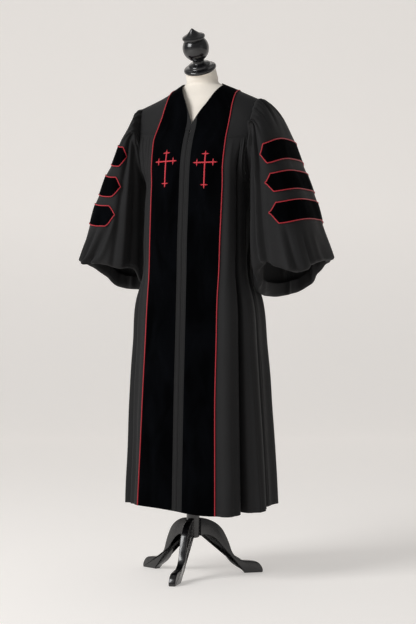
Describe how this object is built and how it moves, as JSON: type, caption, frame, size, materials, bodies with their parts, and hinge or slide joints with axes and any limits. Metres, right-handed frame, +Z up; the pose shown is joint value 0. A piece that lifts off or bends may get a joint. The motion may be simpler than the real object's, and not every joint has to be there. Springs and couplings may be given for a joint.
{
  "type": "doctoral graduation gown on a dress form stand",
  "caption": "Black doctoral gown with velvet front facings, red piping, bell sleeves with velvet bars and embroidered crosses, on a limbless dress form with a turned finial and tripod stand.",
  "frame": {"origin": "on the floor under the middle of the part's box", "axes": "+Z up, the gown's front faces -Y, the wearer's left is +X"},
  "size_m": [0.827, 0.4636, 1.7282],
  "materials": {
    "gown_cloth": "matte charcoal-black woven cloth",
    "black_velvet": "deep black velvet with a short pile",
    "red_piping": "thin red corded piping",
    "cream_jersey": "smooth cream jersey over the dress form",
    "black_lacquer": "glossy black lacquer on turned and sawn wood",
    "pole_steel": "satin"
  },
  "bodies": {
    "root": {"back": "gown_cloth", "bar_1_left": "black_velvet", "bar_1_right": "black_velvet", "bar_2_left": "black_velvet", "bar_2_right": "black_velvet", "bar_3_left": "black_velvet", "bar_3_right": "black_velvet", "bar_piping_1_left": "red_piping", "bar_piping_1_right": "red_piping", "bar_piping_2_left": "red_piping", "bar_piping_2_right": "red_piping", "bar_piping_3_left": "red_piping", "bar_piping_3_right": "red_piping", "finial": "black_lacquer", "form_torso": "cream_jersey", "front_left": "gown_cloth", "front_right": "gown_cloth", "hub": "black_lacquer", "leg_front": "black_lacquer", "leg_left": "black_lacquer", "leg_right": "black_lacquer", "neck_cap": "black_lacquer", "piping_left": "red_piping", "piping_neck": "red_piping", "piping_right": "red_piping", "pole": "pole_steel", "sleeve_left": "gown_cloth", "sleeve_right": "gown_cloth", "velvet_left": "black_velvet", "velvet_neck": "black_velvet", "velvet_right": "black_velvet", "yoke_back": "gown_cloth", "yoke_left": "gown_cloth", "yoke_right": "gown_cloth"}
  },
  "joints": []
}
